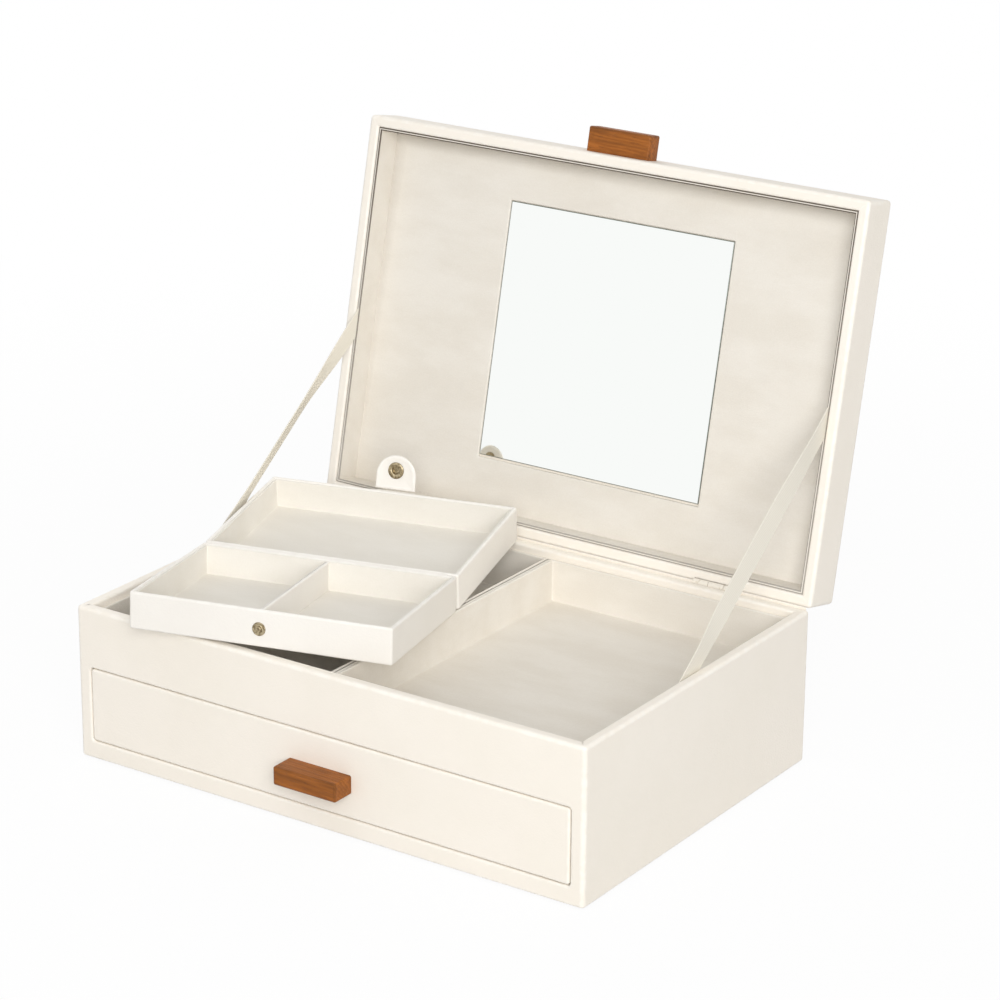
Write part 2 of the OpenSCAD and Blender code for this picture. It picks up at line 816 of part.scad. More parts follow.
base_felt();
base_board();
front_panel();
back_panel();
left_panel();
right_panel();
deck_board();
well_divider();
left_well_lining();
right_well_lining();
drawer_runner_left();
drawer_runner_right();
drawer_front();
drawer_left_side();
drawer_right_side();
drawer_back();
drawer_bottom();
drawer_lining();
drawer_pull();
drawer_pull_screws();
lid_board();
lid_front_rim();
lid_back_rim();
lid_left_rim();
lid_right_rim();
lid_lining_card();
lid_rim_lining();
mirror_glass();
lid_handle();
lid_handle_screws();
hinge_case_leaf_left();
hinge_case_leaf_right();
hinge_lid_leaf_left();
hinge_lid_leaf_right();
hinge_pin_left();
hinge_pin_right();
hinge_case_screws();
hinge_lid_screws();
ribbon_stay_left();
ribbon_stay_right();
tray_front_shell();
tray_front_lining();
tray_partition();
snap_stud();
tray_rear_shell();
tray_rear_lining();
tray_spine_strip();
clasp_root();
clasp_tab();
snap_socket();
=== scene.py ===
"""The looks of a vanity box: a case with a drawer, an open lid with a mirror, and a folding tray."""

import json

import bmesh
import bpy
import numpy as np
from mathutils import Matrix, Vector


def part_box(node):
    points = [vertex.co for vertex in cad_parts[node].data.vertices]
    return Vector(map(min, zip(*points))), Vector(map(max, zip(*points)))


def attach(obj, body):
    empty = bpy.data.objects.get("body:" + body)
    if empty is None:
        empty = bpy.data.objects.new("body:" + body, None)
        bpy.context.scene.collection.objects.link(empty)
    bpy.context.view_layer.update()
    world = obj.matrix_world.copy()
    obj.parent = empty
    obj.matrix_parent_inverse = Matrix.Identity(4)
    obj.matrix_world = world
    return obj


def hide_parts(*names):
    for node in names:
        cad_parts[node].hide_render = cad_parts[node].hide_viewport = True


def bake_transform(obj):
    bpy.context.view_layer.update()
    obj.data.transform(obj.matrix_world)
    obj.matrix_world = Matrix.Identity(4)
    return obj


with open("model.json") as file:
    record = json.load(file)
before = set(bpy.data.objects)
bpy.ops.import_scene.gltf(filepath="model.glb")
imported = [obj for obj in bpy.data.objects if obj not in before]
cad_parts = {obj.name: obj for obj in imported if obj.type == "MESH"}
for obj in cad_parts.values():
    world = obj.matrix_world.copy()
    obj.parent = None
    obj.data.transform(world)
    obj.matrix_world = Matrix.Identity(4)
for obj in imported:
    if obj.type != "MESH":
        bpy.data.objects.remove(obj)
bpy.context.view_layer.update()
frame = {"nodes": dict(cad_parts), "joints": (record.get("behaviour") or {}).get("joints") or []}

# The camera looks down on the box from the right. Its place, its tilt and its focal length were
# worked out from where the corners of the case, the lid and the mirror lie in the picture.
turn, tilt, roll = np.radians([34.114, 20.039, 0.432])
away = np.array([np.sin(turn) * np.cos(tilt), -np.cos(turn) * np.cos(tilt), np.sin(tilt)])
across = np.cross([0.0, 0.0, 1.0], away)
across = across / np.linalg.norm(across)
upward = np.cross(away, across)
place = np.eye(4)
place[:3, 0] = np.cos(roll) * across + np.sin(roll) * upward
place[:3, 1] = np.cos(roll) * upward - np.sin(roll) * across
place[:3, 2] = away
place[:3, 3] = np.array([0.031247, 0.0, 0.135489]) + 1.56937 * away
lens = bpy.data.cameras.new("camera")
lens.sensor_width = 36
lens.lens = 36 * 3.48194
lens.clip_start = 0.05
lens.clip_end = 40
camera = bpy.data.objects.new("camera", lens)
bpy.context.scene.collection.objects.link(camera)
camera.matrix_world = Matrix(place.tolist())
bpy.context.scene.camera = camera
bpy.context.scene.view_settings.view_transform = "Standard"


# The case is a box of 5.5 mm boards wrapped in ivory leatherette. One sheet goes round all four
# walls, over the rim and under the foot, so the edges are round and no joint shows.
class Tone:
    """A socket of a material. Operators add Math nodes, or Vector Math nodes for a vector."""

    def __init__(self, tree, socket):
        self.tree = tree
        self.socket = socket

    def node(self, kind, settings=None, sockets=None, output=0):
        """Adds a node, sets its settings and then its sockets, and gives one of its outputs."""
        made = self.tree.nodes.new("ShaderNode" + kind)
        for name, value in (settings or {}).items():
            if name == "stops":
                ramp = made.color_ramp.elements
                while len(ramp) < len(value):
                    ramp.new(0.5)
                for element, (at, colour) in zip(ramp, value):
                    element.position = at
                    element.color = colour
            else:
                setattr(made, name, value)
        for name, value in (sockets or {}).items():
            if isinstance(value, Tone):
                self.tree.links.new(value.socket, made.inputs[name])
            else:
                made.inputs[name].default_value = value
        return Tone(self.tree, made.outputs[output])

    def maths(self, operation, first, second):
        kinds = [x.socket.type for x in (first, second) if isinstance(x, Tone)]
        if not {"VECTOR", "RGBA"} & set(kinds):
            return self.node("Math", {"operation": operation}, {0: first, 1: second})
        pair = [x if isinstance(x, (Tone, tuple)) else (x, x, x) for x in (first, second)]
        return self.node("VectorMath", {"operation": operation}, {0: pair[0], 1: pair[1]})

    def __add__(self, other):
        return self.maths("ADD", self, other)

    def __radd__(self, other):
        return self.maths("ADD", other, self)

    def __sub__(self, other):
        return self.maths("SUBTRACT", self, other)

    def __rsub__(self, other):
        return self.maths("SUBTRACT", other, self)

    def __mul__(self, other):
        return self.maths("MULTIPLY", self, other)

    def __rmul__(self, other):
        return self.maths("MULTIPLY", other, self)

    def __truediv__(self, other):
        return self.maths("DIVIDE", self, other)

    def __pow__(self, other):
        return self.maths("POWER", self, other)

    def between(self, low, high):
        """Rises smoothly from 0 to 1 as the value goes from low to high."""
        return self.node("MapRange", {"interpolation_type": "SMOOTHSTEP"}, {0: self, 1: low, 2: high})

    def blend(self, first, second):
        """The first colour where this value is 0 and the second where it is 1."""
        return self.node("Mix", {"data_type": "RGBA"}, {0: self, 6: first, 7: second}, 2)

    def noise(self, size, detail=3.0, stretch=(1, 1, 1), rough=0.5, output="Fac"):
        """Cloudy noise at this place, with lumps of the given size in metres."""
        scale = tuple(1 / (size * s) for s in stretch)
        spot = self.node("Mapping", {}, {"Vector": self, "Scale": scale})
        sockets = {"Vector": spot, "Scale": 1.0, "Detail": detail, "Roughness": rough}
        return spot.node("TexNoise", {}, sockets, output)


def shade(red, green, blue):
    """A colour written as it looks, from 0 to 255, turned into the light that it gives back."""
    seen = np.array([red, green, blue]) / 255
    light = np.where(seen > 0.04045, ((seen + 0.055) / 1.055) ** 2.4, seen / 12.92)
    return (*light.tolist(), 1.0)


def finish_of(name, colour, rough, metal=0.0, heights=(), **steady):
    """A material made by functions of the place: its colour, its roughness and its heights in metres.
    Steady values are put on the shader's own sockets."""
    material = bpy.data.materials.new(name)
    material.use_nodes = True
    tree = material.node_tree
    shader = tree.nodes["Principled BSDF"]
    spot = Tone(tree, None).node("TexCoord", {}, {}, "Object")
    sockets = {"Base Color": colour(spot), "Roughness": rough(spot), "Metallic": metal}
    bump = None
    for height, depth in heights:
        links = {"Height": height(spot), "Distance": depth, "Strength": 1.0}
        if bump is not None:
            links["Normal"] = bump
        bump = spot.node("Bump", {}, links)
    if bump is not None:
        sockets["Normal"] = bump
    for socket, value in sockets.items():
        if isinstance(value, Tone):
            tree.links.new(value.socket, shader.inputs[socket])
        else:
            shader.inputs[socket].default_value = value
    for socket, value in steady.items():
        shader.inputs[socket.replace("_", " ")].default_value = value
    return material


def mottled(first, second, size, detail, low=0.3, high=0.7, **more):
    """A colour that goes from the first to the second in clouds of noise of the given size."""
    return lambda spot: spot.noise(size, detail, **more).between(low, high).blend(first, second)


def edge_of(spot):
    """1 along the rounded edges of a piece and 0 on its flat faces. On the lid card and the rim strip
    it also carries painted shade.
    """
    return spot.node("Attribute", {"attribute_name": "edge"}, {}, "Fac")


def worn(spot):
    """The edges of a piece, broken up by noise where they are rubbed."""
    return edge_of(spot) * spot.noise(0.004, 4.0).between(0.35, 0.65)


def grain_cells(spot):
    """The pebbled grain that is pressed into leatherette: small cells with soft hollows between."""
    bent = spot + (spot.node("TexNoise", {}, {"Vector": spot, "Scale": 700.0}, "Color") - 0.5) * 0.0006
    cells = bent.node("TexVoronoi", {"feature": "SMOOTH_F1"}, {"Vector": bent, "Scale": 1300.0})
    return 1 - cells.between(0.1, 0.8)


def leatherette(name, body, shadow, rub):
    """Leatherette: its body colour with faint clouds, darker hollows and rubbed edges."""

    def colour(spot):
        clouds = spot.noise(0.05, 4.0).between(0.3, 0.7)
        base = (clouds * 0.5).blend(body, shadow)
        return (worn(spot) * 0.5).blend(base, rub)

    def rough(spot):
        return 0.5 + spot.noise(0.006, 3.0) * 0.12 - worn(spot) * 0.1

    return finish_of(
        name, colour, rough,
        heights=[(grain_cells, 0.00004), (lambda spot: spot.noise(0.009, 2.0), 0.00012)],
    )


ivory = leatherette(
    "ivory_leatherette", shade(248, 241, 230), shade(243, 236, 223), shade(252, 248, 240)
)

MM = 0.001


def piece(name, points, faces, edge, finish, body, nodes, slot, sharp=35):
    """Makes a piece from points in millimetres, turned outwards, and fixes it to its body."""
    mesh = bpy.data.meshes.new(name)
    mesh.from_pydata((np.asarray(points, float) * MM).tolist(), [], faces)
    marks = np.ravel(edge).astype(np.float32)
    mesh.attributes.new("edge", "FLOAT", "POINT").data.foreach_set("value", marks)
    shape = bmesh.new()
    shape.from_mesh(mesh)
    bmesh.ops.remove_doubles(shape, verts=shape.verts, dist=0.000002)
    if shape.calc_volume(signed=True) < 0:
        bmesh.ops.reverse_faces(shape, faces=shape.faces)
    shape.to_mesh(mesh)
    shape.free()
    mesh.shade_smooth()
    mesh.set_sharp_from_angle(angle=np.radians(sharp))
    mesh.materials.append(finish)
    made = bpy.data.objects.new(name, mesh)
    bpy.context.scene.collection.objects.link(made)
    if body:
        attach(made, body)
    if nodes:
        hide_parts(*nodes)
    return made


def millimetres(node):
    """The lowest and the highest corner of a node of the model, in millimetres."""
    return [np.array(corner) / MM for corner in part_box(node)]


def softened(corners, radii, steps=5, lead=0.4):
    """A closed outline whose corners are arcs, with a point at lead before and after each arc.
    Gives the points and, for each, 1 on an arc and 0 elsewhere."""
    corners = np.asarray(corners, float)
    before = np.roll(corners, 1, 0) - corners
    after = np.roll(corners, -1, 0) - corners
    before = before / np.linalg.norm(before, axis=1)[:, None]
    after = after / np.linalg.norm(after, axis=1)[:, None]
    points, marks = [], []
    for corner, radius, back, on in zip(corners, radii, before, after):
        if radius <= 0:
            points.append(corner[None])
            marks.append([0])
            continue
        swing = np.linspace(0, np.pi / 2, steps + 1)[:, None]
        arc = corner + radius * ((1 - np.sin(swing)) * back + (1 - np.cos(swing)) * on)
        points.append(np.vstack([corner + (radius + lead) * back, arc, corner + (radius + lead) * on]))
        marks.append([0, *[1] * (steps + 1), 0])
    return np.vstack(points), np.concatenate(marks)


def grid_faces(rows, columns, rows_close=False, first=0):
    """The four-sided faces of a grid of points, rows by columns. Each row is closed on itself, and
    the last row is joined to the first if rows_close is set."""
    r = np.arange(rows if rows_close else rows - 1)[:, None]
    c = np.arange(columns)[None, :]
    r2, c2 = (r + 1) % rows, (c + 1) % columns
    faces = np.stack([r * columns + c, r * columns + c2, r2 * columns + c2, r2 * columns + c], -1)
    return (faces.reshape(-1, 4) + first).tolist()


corner_steps = 4


def wall_side(low, high, outline, side, corner, stops=()):
    """An outline (inwards, up) carried along one side of a rectangle, from the middle of one rounded
    corner to the middle of the next. Side 0 is the front, then right, back and left. Each stop is a
    place along the side, with the outline that the wall has there."""
    inwards, up = outline[:, 0], outline[:, 1]
    centre = np.maximum(corner, inwards)
    radius = np.maximum(corner - inwards, 0)
    swing = np.linspace(np.pi / 4, 0, corner_steps + 1)[:, None]
    start = np.stack([centre - radius * np.sin(swing), centre - radius * np.cos(swing)], -1)
    lead = np.stack([centre + 0.5, inwards], -1)[None]
    start = np.concatenate([start, lead])
    size = np.array(high[:2]) - np.array(low[:2])
    length = size[side % 2]
    end = start[::-1] * [-1, 1] + [length, 0]
    middle = [np.stack([np.full_like(inwards, stop), cut[:, 0]], -1)[None] for stop, cut in stops]
    plan = np.concatenate([start, *middle, end])
    origin = [low[:2], (high[0], low[1]), high[:2], (low[0], high[1])][side]
    along = np.array([(1, 0), (0, 1), (-1, 0), (0, -1)][side])
    inner = np.array([(0, 1), (-1, 0), (0, -1), (1, 0)][side])
    flat = np.array(origin) + plan[..., :1] * along + plan[..., 1:] * inner
    return np.concatenate([flat, np.broadcast_to(up[None, :, None], flat.shape[:2] + (1,))], -1)


def wall_faces(points):
    """The faces of a wall: its grid, closed round the outline, and a cap at each end."""
    rows, columns = points.shape[:2]
    ends = [list(range(columns)), list(range((rows - 1) * columns, rows * columns))]
    return grid_faces(rows, columns) + ends


def curved(points, marks):
    """The edge marks of a wall: those of its outline, and 1 round its upright corners."""
    rows, columns = points.shape[:2]
    round_rows = np.zeros(rows)
    round_rows[:corner_steps + 1] = 1
    round_rows[-corner_steps - 1:] = 1
    return np.maximum(round_rows[:, None] * np.ones(columns), np.asarray(marks)[None, :])


case_low, case_high = millimetres("front_panel")
case_high[1] = -case_low[1]
wall = 5.5
upright_round, foot_round, rim_round, inner_round = 2.0, 1.0, 1.6, 1.2
notch_sink, notch_reach, notch_step = 1.8, 2.0, 0.02
wall_outline, wall_marks = softened(
    [
        (wall, case_low[2]), (0, case_low[2]), (0, case_high[2] - notch_reach),
        (0, case_high[2] - notch_reach + notch_step), (0, case_high[2]), (wall, case_high[2]),
    ],
    [0, foot_round, 0, 0, rim_round, inner_round], lead=notch_sink - rim_round,
)


def notched(outline, edge):
    """The outline with its outer side cut back near the edge, as room for the knuckles of a hinge."""
    inwards, up = outline[:, 0], outline[:, 1]
    near = abs(up - edge) < notch_reach - notch_step / 2
    return np.stack([np.where(near, np.maximum(inwards, notch_sink), inwards), up], -1)


def hinge_stops(outline, edge):
    """The places along the back where the room for each hinge begins and ends."""
    stops, play = [], 0.3
    for node in ("hinge_case_leaf_right", "hinge_case_leaf_left"):
        low, high = millimetres(node)
        start, end = case_high[0] - high[0] - play, case_high[0] - low[0] + play
        cut = notched(outline, edge)
        stops += [(start, outline), (start, cut), (end, cut), (end, outline)]
    return stops


for side, node in ((1, "right_panel"), (2, "back_panel"), (3, "left_panel")):
    stops = hinge_stops(wall_outline, case_high[2]) if node == "back_panel" else []
    points = wall_side(case_low, case_high, wall_outline, side, upright_round, stops)
    piece(
        node + "_wrapped", points.reshape(-1, 3), wall_faces(points), curved(points, wall_marks),
        ivory, "case", [node], "white_leather",
    )

# The front wall has the drawer opening cut in it. The leatherette is turned over the edges of
# the opening, so they are round at the front.
open_low = np.array([-133.0, 9.5])
open_high = np.array([133.0, 46.5])
margin = 3.0


def rounded_rectangle(low, high, radius):
    """A rectangle whose corners are arcs, with the same number of points whatever the radius."""
    swing = np.linspace(0, np.pi / 2, 6)
    arc = np.stack([np.cos(swing), np.sin(swing)], -1)
    quarter = [arc, arc[:, ::-1] * [-1, 1], -arc, arc[:, ::-1] * [1, -1]]
    centres = [
        (high[0] - radius, high[1] - radius), (low[0] + radius, high[1] - radius),
        (low[0] + radius, low[1] + radius), (high[0] - radius, low[1] + radius),
    ]
    return np.concatenate([np.array(c) + radius * q for c, q in zip(centres, quarter)])


def edge_arc(radius, steps=4):
    """A quarter circle over an edge: how far its points are from the one face and from the other.
    A sharp edge is a single point."""
    swing = np.linspace(0, np.pi / 2, steps + 1) if radius > 0 else np.zeros(1)
    return radius * (1 - np.sin(swing)), radius * (1 - np.cos(swing))


front_outline, front_marks = softened(
    [
        (wall, case_low[2]), (0, case_low[2]), (0, open_low[1] - margin), (0, open_high[1] + margin),
        (0, case_high[2]), (wall, case_high[2]), (wall, open_high[1] + margin),
        (wall, open_low[1] - margin),
    ],
    [0, foot_round, 0, 0, rim_round, inner_round, 0, 0],
)
stops = [(x - case_low[0], front_outline) for x in (open_low[0] - margin, open_high[0] + margin)]
front = wall_side(case_low, case_high, front_outline, 0, upright_round, stops)
front_points = front.reshape(-1, 3)
front_faces = wall_faces(front)
front_grid, front_caps = np.array(front_faces[:-2]), front_faces[-2:]
middles = front_points[front_grid].mean(1)
open_middle = (open_low[1] + open_high[1]) / 2
inside = (abs(middles[:, 0]) < open_high[0]) & (abs(middles[:, 2] - open_middle) < margin)
turned, open_round, lead = 0.9, 1.6, 0.4
turned_out, turned_in = edge_arc(turned)
ring_reach = [margin, turned + lead, *turned_out, 0.0, 0.0, margin]
ring_depth = [0.0, 0.0, *turned_in, turned + lead, wall, wall]
ring_radius = [0.0, open_round + turned + lead, *(open_round + turned_out), open_round, open_round, 0.0]
rings = [
    np.insert(rounded_rectangle(open_low - reach, open_high + reach, radius), 1, case_low[1] + depth, 1)
    for reach, depth, radius in zip(ring_reach, ring_depth, ring_radius)
]
ring_faces = grid_faces(len(rings), len(rings[0]), first=len(front_points))
piece(
    "front_panel_wrapped", np.vstack([front_points, *rings]),
    front_grid[~inside].tolist() + front_caps + ring_faces,
    np.concatenate([
        curved(front, front_marks).ravel(),
        np.repeat([0, 0, *[1] * 5, 0, 0, 0], len(rings[0])),
    ]),
    ivory, "case", ["front_panel"], "white_leather",
)

# The deck between the drawer and the wells, the bottom board and the two drawer runners are
# plain fibreboard strips, glued in. They only show with the drawer out or from below.
fibreboard = finish_of(
    "fibreboard", mottled(shade(184, 160, 124), shade(206, 184, 148), 0.0012, 6.0, stretch=(3, 1, 1)),
    lambda spot: 0.78 + spot.noise(0.002) * 0.15,
    heights=[(lambda spot: spot.noise(0.0007, 5.0, (3, 1, 1)), 0.00008)],
)


def coat(finish, *nodes):
    """Gives a finish to nodes of the model that are shown in their own form."""
    for node in nodes:
        frame["nodes"][node].data.materials.clear()
        frame["nodes"][node].data.materials.append(finish)


coat(fibreboard, "base_board", "deck_board", "drawer_runner_left", "drawer_runner_right")

# A grey wool felt sheet is glued under the case, a little smaller than it, so that the box
# slides without scratching.
felt = finish_of(
    "grey_felt", mottled(shade(104, 98, 90), shade(138, 131, 122), 0.0009, 6.0, rough=0.7),
    lambda spot: 0.9 + spot.noise(0.003) * 0.08,
    heights=[(lambda spot: spot.noise(0.0006, 6.0, rough=0.7), 0.0003)],
    Sheen_Weight=0.25,
)


def rounded_board(low, high, corner, foot, top, lead=0.4, order=(0, 1, 2)):
    """A board as a stack of rounded rectangles, drawn in by an arc at its foot and its top.
    Order says which axes the first, second and stacking direction of the board are."""
    low, high = (np.asarray(x, float)[list(order)] for x in (low, high))
    foot_in, foot_up = edge_arc(foot)
    top_in, top_down = edge_arc(top)
    tall = high[2] - low[2]
    lead_up = min(lead, (tall - foot - top) / 3)
    insets = [foot + lead, *foot_in, 0.0, 0.0, *top_in[::-1], top + lead]
    levels = [0.0, *foot_up, foot + lead_up, tall - top - lead_up, *(tall - top_down[::-1]), tall]
    marks = [0, *[float(foot > 0)] * len(foot_in), 0, 0, *[float(top > 0)] * len(top_in), 0]
    rings = np.array([
        np.insert(rounded_rectangle(low[:2] + i, high[:2] - i, max(corner - i, 0.02)), 2, low[2] + z, 1)
        for i, z in zip(insets, levels)
    ])
    points = rings.reshape(-1, 3)[:, np.argsort(order)]
    return points, wall_faces(rings), np.repeat(marks, rings.shape[1])


low, high = millimetres("base_felt")
base_felt = piece(
    "base_felt_sheet", *rounded_board(low, high, 3.0, 0.3, 0.3), felt, "case", ["base_felt"], "felt",
)
(high[1] - low[1]) * MM
(high[0] - low[0]) * MM

# Each well has a lining of stiff card under greige suede, folded up into four walls whose top
# edges are rolled over.
greige = shade(236, 231, 222)
greige_dark = shade(224, 217, 205)


def suede(name, light, dark, cut=None):
    """Suede: a short nap that lies light in one place and dark in the next, over fine fibres.
    Where the edge marks are set it goes to the cut colour, which stands for a dark cut edge and for
    painted shade along the lid's rims."""

    def colour(spot):
        brushed = spot.noise(0.018, 5.0, (2.5, 1, 1), 0.6).between(0.32, 0.68)
        fibres = spot.noise(0.0008, 4.0, rough=0.7).between(0.25, 0.75)
        nap = (brushed * 0.45 + fibres * 0.3).blend(light, dark)
        return edge_of(spot).blend(nap, cut) if cut else nap

    return finish_of(
        name, colour, lambda spot: 0.86 + spot.noise(0.002) * 0.12,
        heights=[
            (lambda spot: spot.noise(0.0006, 5.0, rough=0.7), 0.00012),
            (lambda spot: spot.noise(0.012, 3.0, (2, 1, 1)), 0.0002),
        ],
        Specular_IOR_Level=0.2,
    )


greige_suede = suede("greige_suede", greige, greige_dark)


def cup(low, high, wall, rim, foot, corner, inner_corner=0.6):
    """An open box as rounded rectangles, from the middle of its underside out, up, over its rim,
    down inside and in to the middle of its floor."""
    low, high = np.asarray(low, float), np.asarray(high, float)
    rim = min(rim, wall / 2 - 0.02)
    foot_in, foot_up = edge_arc(foot)
    rim_down, rim_in = edge_arc(rim)
    tall, lead = high[2] - low[2], 0.4
    insets = np.array([
        foot + lead, *foot_in, 0, 0, *rim_in, *(wall - rim_in[::-1]), wall, wall, wall + 0.1,
        wall + 0.5, wall + 1.5,
    ])
    levels = [
        0, *foot_up, foot + lead, tall - rim - lead, *(tall - rim_down), *(tall - rim_down[::-1]),
        tall - rim - lead, wall + 0.6, wall + 0.15, wall, wall,
    ]
    marks = [0, *[1] * len(foot_in), 0, 0, *[1] * (2 * len(rim_in)), *[0] * 5]
    radii = np.where(insets < wall / 2, corner - insets, inner_corner - np.maximum(insets - wall, 0))
    rings = np.array([
        np.insert(rounded_rectangle(low[:2] + i, high[:2] - i, r), 2, low[2] + z, 1)
        for i, z, r in zip(insets, levels, np.maximum(radii, 0.05))
    ])
    return rings.reshape(-1, 3), wall_faces(rings), np.repeat(marks, rings.shape[1])


def card_cup(node):
    """A lining of stiff card in the place of a node, with its walls rolled over at the top."""
    return cup(*millimetres(node), 1.5, 0.7, 0.2, 0.3, 1.0)


for node in ("left_well_lining", "right_well_lining"):
    piece(node + "_suede", *card_cup(node), greige_suede, "case", [node], "suede_greige")

# The low board between the wells is covered with the same suede, with a rounded top.
low, high = millimetres("well_divider")
piece(
    "well_divider_suede", *rounded_board(low, high, 0.2, 0.1, 0.8), greige_suede, "case",
    ["well_divider"], "suede_greige",
)

# The drawer is a box of thin boards behind a front board. The front is wrapped in leatherette
# on all edges, and the sides, the back and the bottom are covered with thin ivory paper.
low, high = millimetres("drawer_front")
piece(
    "drawer_front_wrapped", *rounded_board(low, high, 1.3, 0.9, 0.2, order=(0, 2, 1)), ivory, "drawer",
    ["drawer_front"], "white_leather",
)
cover_paper = finish_of(
    "ivory_cover_paper", mottled(shade(240, 233, 220), shade(232, 224, 209), 0.002, 5.0),
    lambda spot: 0.62 + spot.noise(0.004) * 0.16,
    heights=[(lambda spot: spot.noise(0.0005, 4.0), 0.00004)],
)
for node, order in (
    ("drawer_left_side", (1, 2, 0)), ("drawer_right_side", (1, 2, 0)), ("drawer_back", (0, 2, 1)),
    ("drawer_bottom", (0, 1, 2)),
):
    board = rounded_board(*millimetres(node), 0.3, 0.3, 0.3, order=order)
    piece(node + "_covered", *board, cover_paper, "drawer", [node], "white_leather")
piece(
    "drawer_lining_suede", *card_cup("drawer_lining"), greige_suede, "drawer", ["drawer_lining"],
    "suede_greige",
)

# The lid is a shallow box: a board with four rims, wrapped in one sheet of leatherette like
# the case. It stands open on its hinges at the back of the case.
lid_joint = next(joint for joint in frame["joints"] if joint["name"] == "lid_hinge")
lid_axis = np.array(lid_joint["pos_m"]) / MM
lid_turn = np.radians(lid_joint["range_deg"][1])


def open_lid(points):
    """Points of the closed lid, turned back about the hinge line by the angle of the open lid."""
    y = points[..., 1] - lid_axis[1]
    z = points[..., 2] - lid_axis[2]
    turned_y = lid_axis[1] + y * np.cos(lid_turn) + z * np.sin(lid_turn)
    turned_z = lid_axis[2] - y * np.sin(lid_turn) + z * np.cos(lid_turn)
    return np.stack([points[..., 0], turned_y, turned_z], -1)


rim_low, rim_high, board_top = 76.3, 93.3, 98.3
lid_outline, lid_marks = softened(
    [
        (0, rim_high), (0, rim_low + notch_reach), (0, rim_low + notch_reach - notch_step),
        (0, rim_low), (wall, rim_low), (wall, rim_high),
    ],
    [0, 0, 0, rim_round, inner_round, 0], lead=notch_sink - rim_round,
)
lid_low = np.array([*case_low[:2], rim_low])
lid_high = np.array([*case_high[:2], board_top])
for side, node in enumerate(("lid_front_rim", "lid_right_rim", "lid_back_rim", "lid_left_rim")):
    stops = hinge_stops(lid_outline, rim_low) if node == "lid_back_rim" else []
    points = wall_side(lid_low, lid_high, lid_outline, side, upright_round, stops)
    piece(
        node + "_wrapped", open_lid(points).reshape(-1, 3), wall_faces(points),
        curved(points, lid_marks), ivory, "lid", [node], "white_leather",
    )
points, faces, marks = rounded_board([*lid_low[:2], rim_high], lid_high, upright_round, 0, rim_round)
piece("lid_board_wrapped", open_lid(points), faces, marks, ivory, "lid", ["lid_board"], "white_leather")


# Inside the lid lies a card covered with greige suede, rolled round the cut-out for the mirror. Its
# outer edges are darkened with painted shade, widest along the front rim, the top of the open lid.
# A suede strip lines the rims; its dark cut edge is painted darker along the front and back rims as
# painted shade.
def frame_card(low, high, hole_low, hole_high, roll, face, back):
    """A plate with a square hole: its front from the outer edge in to the hole, the rolled edge, the
    wall of the hole, and its back out again. Face and back are the heights of its two sides. The
    marks, which set painted shade, are highest at the outer edge and fall inwards."""
    hole_round, outer_round = 0.4, 0.05
    front_steps, roll_lead = (0.0, 0.7, 3.0, 9.0), 0.5
    rings = [
        np.insert(rounded_rectangle(low + i, high - i, outer_round), 2, face, 1) for i in front_steps
    ]
    roll_out, roll_sink = edge_arc(roll, 5)
    for reach, sink in zip([roll + roll_lead, *roll_out], [0.0, *roll_sink]):
        ring = rounded_rectangle(hole_low - reach, hole_high + reach, hole_round + reach)
        rings.append(np.insert(ring, 2, face + sink, 1))
    rings.append(np.insert(rounded_rectangle(hole_low, hole_high, hole_round), 2, back, 1))
    rings.append(np.insert(rounded_rectangle(low, high, outer_round), 2, back, 1))
    marks = [1.0, 0.3, 0.2, *[0] * 9, 1.0]
    count = len(rings[0])
    return np.vstack(rings), grid_faces(len(rings), count, rows_close=True), np.repeat(marks, count)


mirror_half, mirror_gap, card_face = 63.0, 0.3, 91.3
mirror_centre = np.array([2.0, -1.0])
inner_low, inner_high = case_low[:2] + wall, case_high[:2] - wall
hole = mirror_half + mirror_gap
foot_gap = np.array([0, 0.9])
points, faces, marks = frame_card(
    inner_low, inner_high, mirror_centre - hole, mirror_centre + hole + foot_gap, 0.7, card_face,
    rim_high,
)
painted_shade_suede = suede("greige_suede_painted_shade", greige, greige_dark, shade(112, 96, 78))
# Painted shade: the card darkens over 9 mm in from the front rim, and half as dark along its other
# outer edges.
near_front = points[:, 1] < inner_low[1] + 9.5
painted_shade_marks = np.where(near_front, marks, np.where(marks < 0.5, 0, marks * 0.5))
piece(
    "lid_lining_suede", open_lid(points), faces, painted_shade_marks, painted_shade_suede, "lid", ["lid_lining_card"],
    "suede_greige",
)


def hoop(low, high, outline, corner):
    """An outline (inwards, up) carried once round a rectangle with rounded corners."""
    rings = [
        np.insert(rounded_rectangle(low + i, high - i, max(corner - i, 0.05)), 2, z, 1)
        for i, z in outline
    ]
    return np.vstack(rings), grid_faces(len(rings), len(rings[0]), rows_close=True)


cut_edge_shade_suede = suede("greige_suede_cut_edge_shade", greige, greige_dark, shade(70, 55, 41))
strip_thick, strip_foot, strip_reach = 1.6, 77.1, 2.0
strip_outline, strip_marks = softened(
    [(0.0, card_face), (0.0, strip_foot), (strip_thick, strip_foot), (strip_thick, card_face)],
    [0, 0.5, 0.5, 0], steps=3, lead=0.15,
)
points, faces = hoop(inner_low, inner_high, strip_outline, 0.1)
# Painted shade: the cut edge is darkest along the front rim and half as dark along the back rim; along
# the sides it shows faintly as a cut edge.
cut_edge_shade = np.where(points[:, 1] < inner_low[1] + strip_reach, 0.9, 0.1)
cut_edge_shade = np.where(points[:, 1] > inner_high[1] - strip_reach, 0.5, cut_edge_shade)
strip_marks = np.repeat(strip_marks, len(points) // len(strip_marks))
piece(
    "lid_rim_lining_suede", open_lid(points), faces, strip_marks * cut_edge_shade, cut_edge_shade_suede, "lid",
    ["lid_rim_lining"], "suede_greige",
)

